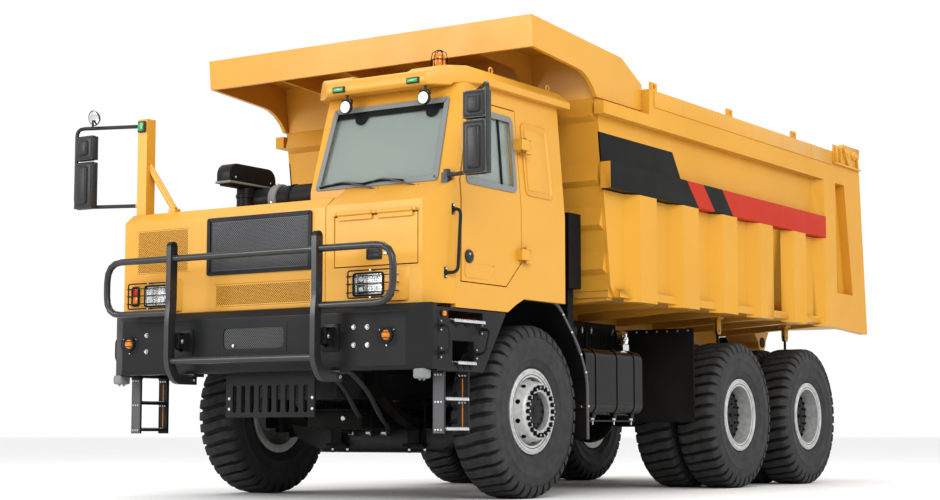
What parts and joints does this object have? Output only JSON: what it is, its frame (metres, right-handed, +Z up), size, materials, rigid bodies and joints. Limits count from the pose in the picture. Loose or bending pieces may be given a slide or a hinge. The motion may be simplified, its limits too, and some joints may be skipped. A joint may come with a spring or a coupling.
{
  "type": "mining dump truck",
  "caption": "Rigid six-by-four mining dump truck with an offset cab, steered front axle, twin rear wheels and a ribbed tipping bed with a canopy.",
  "frame": {"origin": "on the ground under the middle of the truck's box", "axes": "+X ahead, +Y to the truck's left, +Z up"},
  "size_m": [9.1899, 4.4188, 4.1263],
  "materials": {
    "yellow_paint": "semi-gloss golden yellow enamel",
    "dark_paint": "semi-gloss charcoal enamel",
    "chassis_black": "satin black chassis paint",
    "machined_steel": "turned and oiled",
    "grille_mesh": "perforated sheet, satin",
    "tinted_glass": "grey-green tint",
    "seat_cover": "woven cloth",
    "cab_plastic": "moulded grain",
    "black_rubber": "matt sheet",
    "mirror_plastic": "fine grain",
    "lamp_lens": "clear lens",
    "tyre_rubber": "dull tread, lighter sidewall",
    "rim_silver": "silver enamel"
  },
  "bodies": {
    "chassis": {"frame": "chassis_black", "front_axle": "chassis_black", "front_springs": "chassis_black", "rear_axles": "chassis_black", "rear_suspension": "chassis_black", "drive_shafts": "machined_steel", "engine": "chassis_black", "radiator": "chassis_black", "bumper": "dark_paint", "guard": "dark_paint", "skid_plate": "dark_paint", "hood": "yellow_paint", "grilles": "grille_mesh", "cab_shell": "yellow_paint", "cab_nose": "yellow_paint", "cab_roof": "yellow_paint", "cab_glass": "tinted_glass", "seat": "seat_cover", "dashboard": "cab_plastic", "fuel_tank": "dark_paint", "oil_tank": "dark_paint", "mudguards": "black_rubber", "fenders": "yellow_paint", "steps": "dark_paint", "mirrors": "mirror_plastic", "lamps": "lamp_lens", "air_cleaner": "mirror_plastic", "cab_rear_unit": "mirror_plastic"},
    "bed": {"bed_floor": "yellow_paint", "bed_side_left": "yellow_paint", "bed_side_right": "yellow_paint", "bed_front": "yellow_paint", "bed_underframe": "yellow_paint"},
    "tailgate": {"tailgate": "yellow_paint"},
    "knuckle_left": {"knuckle_left": "chassis_black"},
    "knuckle_right": {"knuckle_right": "chassis_black"},
    "tie_rod": {"tie_rod": "chassis_black"},
    "door": {"cab_door": "yellow_paint", "door_glass": "tinted_glass"},
    "hatch": {"front_hatch": "yellow_paint"},
    "hoist_barrel": {"hoist_barrels": "yellow_paint"},
    "hoist_stage": {"hoist_stages": "machined_steel"},
    "hoist_rod": {"hoist_rods": "machined_steel"},
    "front_wheel_left": {"front_tyre_left": "tyre_rubber", "front_rim_left": "rim_silver"},
    "mid_wheels_left": {"mid_tyres_left": "tyre_rubber", "mid_rims_left": "rim_silver"},
    "rear_wheels_left": {"rear_tyres_left": "tyre_rubber", "rear_rims_left": "rim_silver"},
    "front_wheel_right": {"front_tyre_right": "tyre_rubber", "front_rim_right": "rim_silver"},
    "mid_wheels_right": {"mid_tyres_right": "tyre_rubber", "mid_rims_right": "rim_silver"},
    "rear_wheels_right": {"rear_tyres_right": "tyre_rubber", "rear_rims_right": "rim_silver"}
  },
  "joints": [
    {"name": "bed_tilt", "type": "hinge", "parent": "chassis", "child": "bed", "pos_m": [-3.815, 0, 1.62], "axis": [0, -1, 0], "range_deg": [0, 50]},
    {"name": "tailgate_swing", "type": "hinge", "parent": "bed", "child": "tailgate", "pos_m": [-4.4375, 0, 3.86], "axis": [0, 1, 0], "range_deg": [0, 50]},
    {"name": "steer_left", "type": "hinge", "parent": "chassis", "child": "knuckle_left", "pos_m": [2.535, 1.2, 0.745], "axis": [0, 0, 1], "range_deg": [-35, 35]},
    {"name": "steer_right", "type": "hinge", "parent": "chassis", "child": "knuckle_right", "pos_m": [2.535, -1.2, 0.745], "axis": [0, 0, 1], "range_deg": [-35, 35]},
    {"name": "tie_rod_turn", "type": "hinge", "parent": "knuckle_left", "child": "tie_rod", "pos_m": [2.37, 1.2, 0.545], "axis": [0, 0, 1], "range_deg": [-35, 35]},
    {"name": "door_swing", "type": "hinge", "parent": "chassis", "child": "door", "pos_m": [2.879, 1.736, 2.5], "axis": [0, 0, 1], "range_deg": [0, 70]},
    {"name": "hatch_lift", "type": "hinge", "parent": "chassis", "child": "hatch", "pos_m": [4.213, 1.11, 2.337], "axis": [0, -1, 0], "range_deg": [0, 38]},
    {"name": "hoist_turn", "type": "hinge", "parent": "chassis", "child": "hoist_barrel", "pos_m": [-2.065, 0, 0.95], "axis": [0, -1, 0], "range_deg": [0, 60]},
    {"name": "hoist_stage_slide", "type": "slide", "parent": "hoist_barrel", "child": "hoist_stage", "axis": [0.8919, 0, 0.4523], "range_m": [0, 0.779]},
    {"name": "hoist_rod_slide", "type": "slide", "parent": "hoist_stage", "child": "hoist_rod", "axis": [0.8919, 0, 0.4523], "range_m": [0, 0.779]},
    {"name": "front_left_roll", "type": "hinge", "parent": "knuckle_left", "child": "front_wheel_left", "pos_m": [2.535, 1.4, 0.745], "axis": [0, 1, 0], "continuous": true},
    {"name": "mid_left_roll", "type": "hinge", "parent": "chassis", "child": "mid_wheels_left", "pos_m": [-1.225, 1.3715, 0.745], "axis": [0, 1, 0], "continuous": true},
    {"name": "rear_left_roll", "type": "hinge", "parent": "chassis", "child": "rear_wheels_left", "pos_m": [-3.005, 1.3715, 0.745], "axis": [0, 1, 0], "continuous": true},
    {"name": "front_right_roll", "type": "hinge", "parent": "knuckle_right", "child": "front_wheel_right", "pos_m": [2.535, -1.4, 0.745], "axis": [0, 1, 0], "continuous": true},
    {"name": "mid_right_roll", "type": "hinge", "parent": "chassis", "child": "mid_wheels_right", "pos_m": [-1.225, -1.3715, 0.745], "axis": [0, 1, 0], "continuous": true},
    {"name": "rear_right_roll", "type": "hinge", "parent": "chassis", "child": "rear_wheels_right", "pos_m": [-3.005, -1.3715, 0.745], "axis": [0, 1, 0], "continuous": true}
  ],
  "couplings": [
    {"joint": "tailgate_swing", "follows": "bed_tilt", "ratio": 1},
    {"joint": "steer_right", "follows": "steer_left", "ratio": 1},
    {"joint": "tie_rod_turn", "follows": "steer_left", "ratio": -1},
    {"joint": "hoist_turn", "follows": "bed_tilt", "ratio": 1.1724},
    {"joint": "hoist_stage_slide", "follows": "bed_tilt", "m_per_rad": 0.88727},
    {"joint": "hoist_rod_slide", "follows": "bed_tilt", "m_per_rad": 0.88727}
  ]
}
